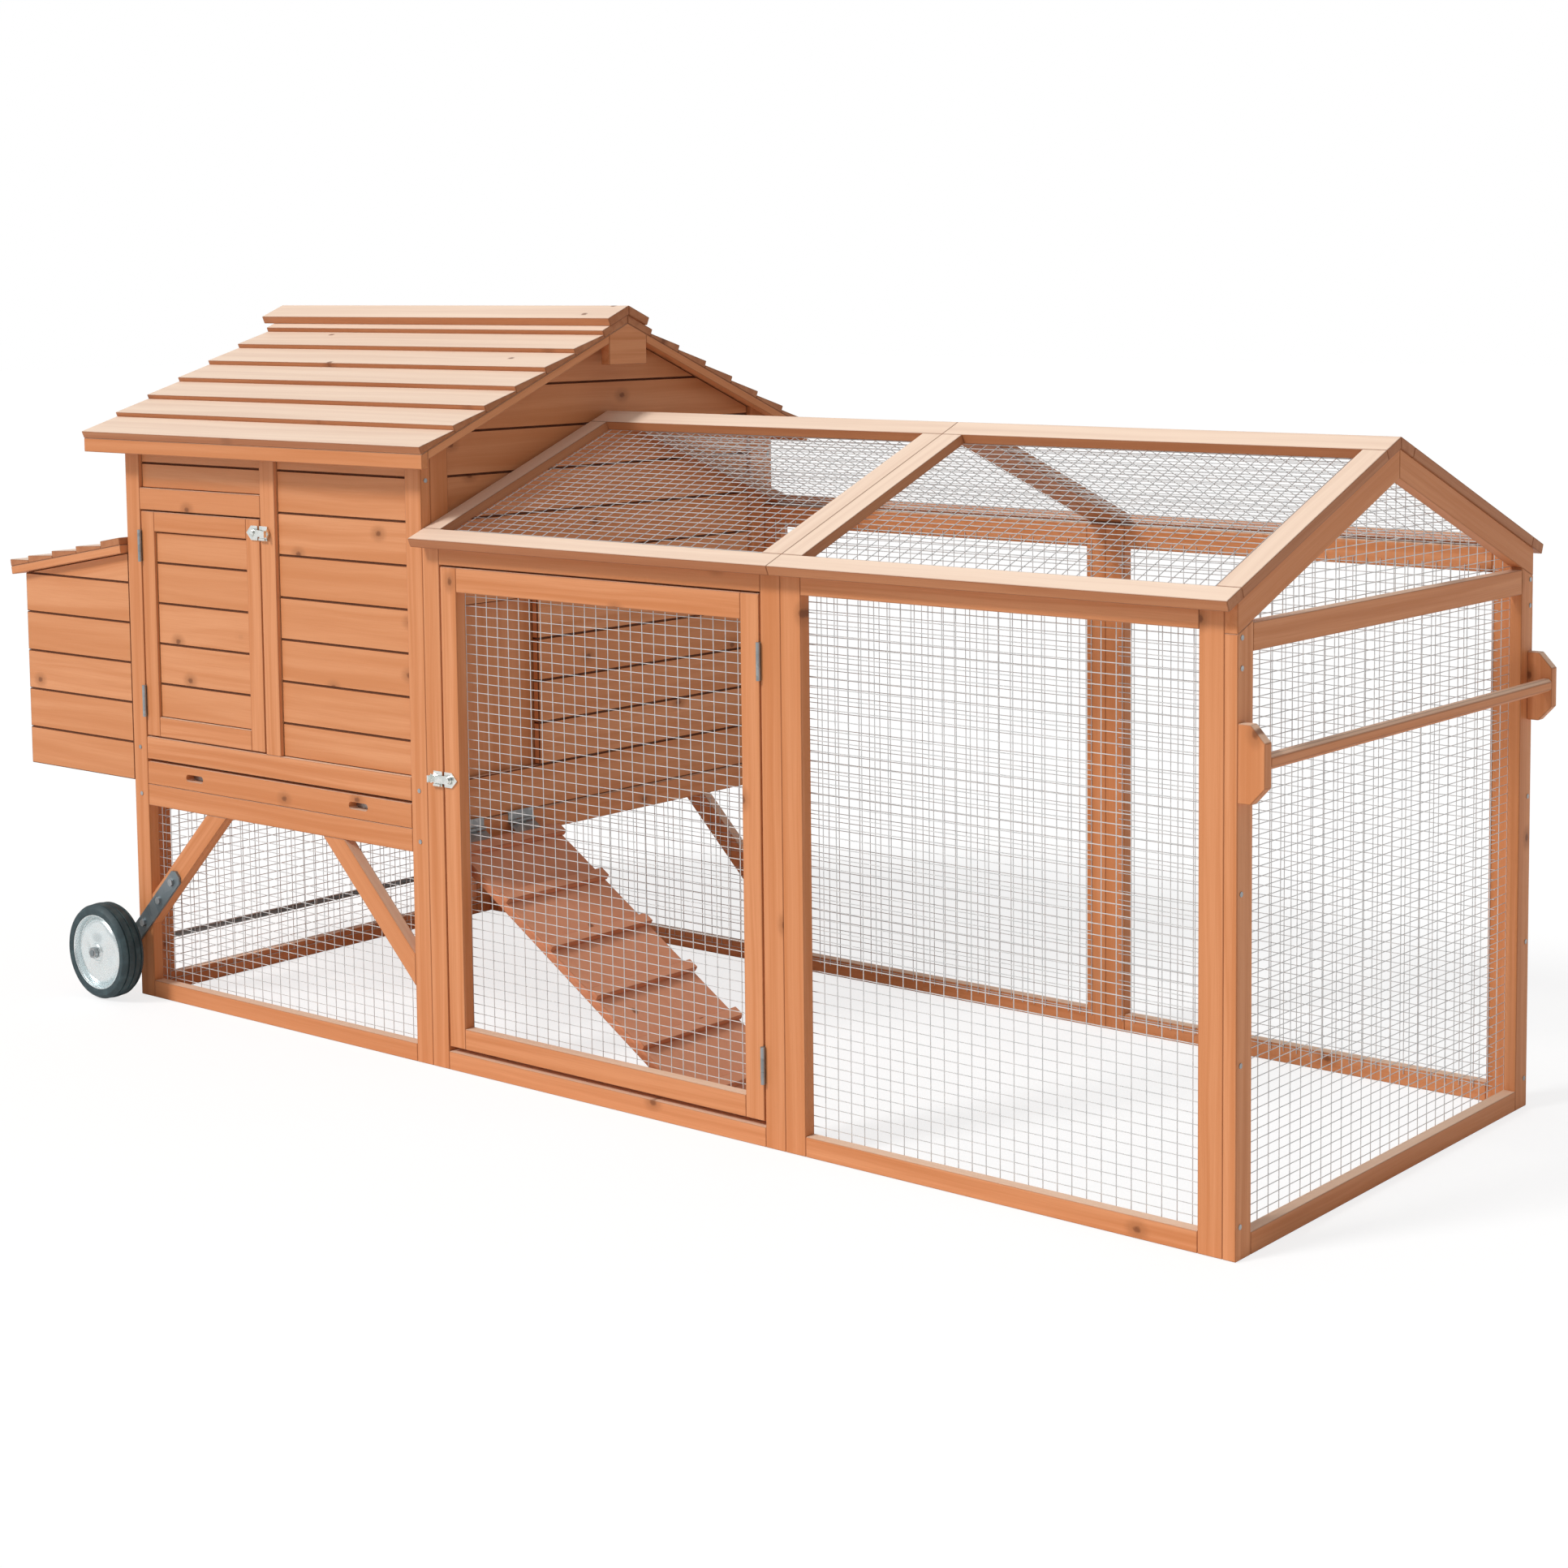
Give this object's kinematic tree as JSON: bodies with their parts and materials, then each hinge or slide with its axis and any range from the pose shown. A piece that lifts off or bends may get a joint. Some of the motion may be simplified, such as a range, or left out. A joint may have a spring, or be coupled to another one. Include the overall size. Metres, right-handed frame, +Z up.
{
  "type": "mobile chicken coop",
  "caption": "Wheeled timber hen house with gable roof, nest box, pull-out tray and ramp, joined to a long mesh run with a door and a carrying handle.",
  "frame": {"origin": "on the ground below the middle of the whole coop", "axes": "+X along the coop towards the handle, -Y the front with the doors, +Z up"},
  "size_m": [2.376, 0.906, 1.0955],
  "materials": {
    "frame_timber": "stained softwood, satin",
    "board_timber": "stained softwood, satin",
    "weathered_top_timber": "stained softwood, matte",
    "zinc": "galvanised",
    "bright_steel": "bright plated",
    "tyre": "matte"
  },
  "bodies": {
    "coop": {"house_front_frame": "frame_timber", "house_back_frame": "frame_timber", "house_end_frames": "frame_timber", "house_front_siding": "board_timber", "house_back_siding": "board_timber", "left_end_siding": "board_timber", "right_gable_siding": "board_timber", "house_floor": "frame_timber", "tray_runners": "frame_timber", "perches": "frame_timber", "roof_rafters": "frame_timber", "roof_slats_front": "weathered_top_timber", "roof_slats_back": "weathered_top_timber", "ridge_cap": "weathered_top_timber", "eave_and_gable_boards": "frame_timber", "underframe_braces": "frame_timber", "underframe_mesh": "zinc", "nest_walls": "board_timber", "nest_floor": "frame_timber", "nest_divider": "frame_timber", "pop_door_guides": "frame_timber", "fixed_hinge_leaves": "zinc", "latch_keepers": "bright_steel", "axle": "zinc", "wheel_struts": "zinc", "strut_bolts": "zinc", "axle_fittings": "zinc", "run_front_frames": "frame_timber", "run_back_frames": "frame_timber", "run_end_frame": "frame_timber", "run_roof_front": "weathered_top_timber", "run_roof_back": "weathered_top_timber", "run_wall_mesh": "zinc", "run_roof_mesh": "zinc", "handle_brackets": "frame_timber", "handle_bar": "frame_timber", "screws": "zinc"},
    "house_door": {"house_door_frame": "frame_timber", "house_door_panel": "board_timber", "house_door_hinge_leaves": "zinc", "house_latch_plate": "bright_steel"},
    "house_latch": {"house_latch_lever": "bright_steel"},
    "run_door": {"run_door_frame": "frame_timber", "run_door_mesh": "zinc", "run_door_hinge_leaves": "zinc", "run_latch_plate": "bright_steel"},
    "run_latch": {"run_latch_lever": "bright_steel"},
    "nest_lid": {"nest_lid_rails": "frame_timber", "nest_lid_slats": "weathered_top_timber", "nest_lid_hinge_leaves": "zinc"},
    "tray": {"tray_front": "frame_timber", "tray_pan": "zinc"},
    "pop_door": {"pop_door_panel": "board_timber"},
    "ramp": {"ramp_board": "frame_timber", "ramp_cleats": "frame_timber", "ramp_hinge_leaves": "zinc"},
    "wheel_front": {"tyre_front": "tyre", "wheel_disc_front": "zinc"},
    "wheel_back": {"tyre_back": "tyre", "wheel_disc_back": "zinc"}
  },
  "joints": [
    {"name": "house_door_hinge", "type": "hinge", "parent": "coop", "child": "house_door", "pos_m": [-0.85275, -0.3833, 0.6], "axis": [0, 0, -1], "range_deg": [0, 120]},
    {"name": "house_latch_turn", "type": "hinge", "parent": "house_door", "child": "house_latch", "pos_m": [-0.5745, -0.38, 0.757], "axis": [0, -1, 0], "range_deg": [0, 90]},
    {"name": "run_door_hinge", "type": "hinge", "parent": "coop", "child": "run_door", "pos_m": [0.43475, -0.3833, 0.38], "axis": [0, 0, 1], "range_deg": [0, 150]},
    {"name": "run_latch_turn", "type": "hinge", "parent": "run_door", "child": "run_latch", "pos_m": [-0.1555, -0.38, 0.424], "axis": [0, 1, 0], "range_deg": [0, 90]},
    {"name": "nest_lid_hinge", "type": "hinge", "parent": "coop", "child": "nest_lid", "pos_m": [-0.8912, 0, 0.73787], "axis": [0, 1, 0], "range_deg": [0, 70]},
    {"name": "tray_slide", "type": "slide", "parent": "coop", "child": "tray", "axis": [0, -1, 0], "range_m": [0, 0.65]},
    {"name": "pop_door_slide", "type": "slide", "parent": "coop", "child": "pop_door", "axis": [0, 0, 1], "range_m": [0, 0.24]},
    {"name": "ramp_hinge", "type": "hinge", "parent": "coop", "child": "ramp", "pos_m": [-0.1998, -0.248, 0.3324], "axis": [0, -1, 0], "range_deg": [0, 75]},
    {"name": "wheel_front_spin", "type": "hinge", "parent": "coop", "child": "wheel_front", "pos_m": [-0.914, -0.426, 0.0765], "axis": [0, 1, 0], "continuous": true},
    {"name": "wheel_back_spin", "type": "hinge", "parent": "coop", "child": "wheel_back", "pos_m": [-0.914, 0.426, 0.0765], "axis": [0, 1, 0], "continuous": true}
  ]
}
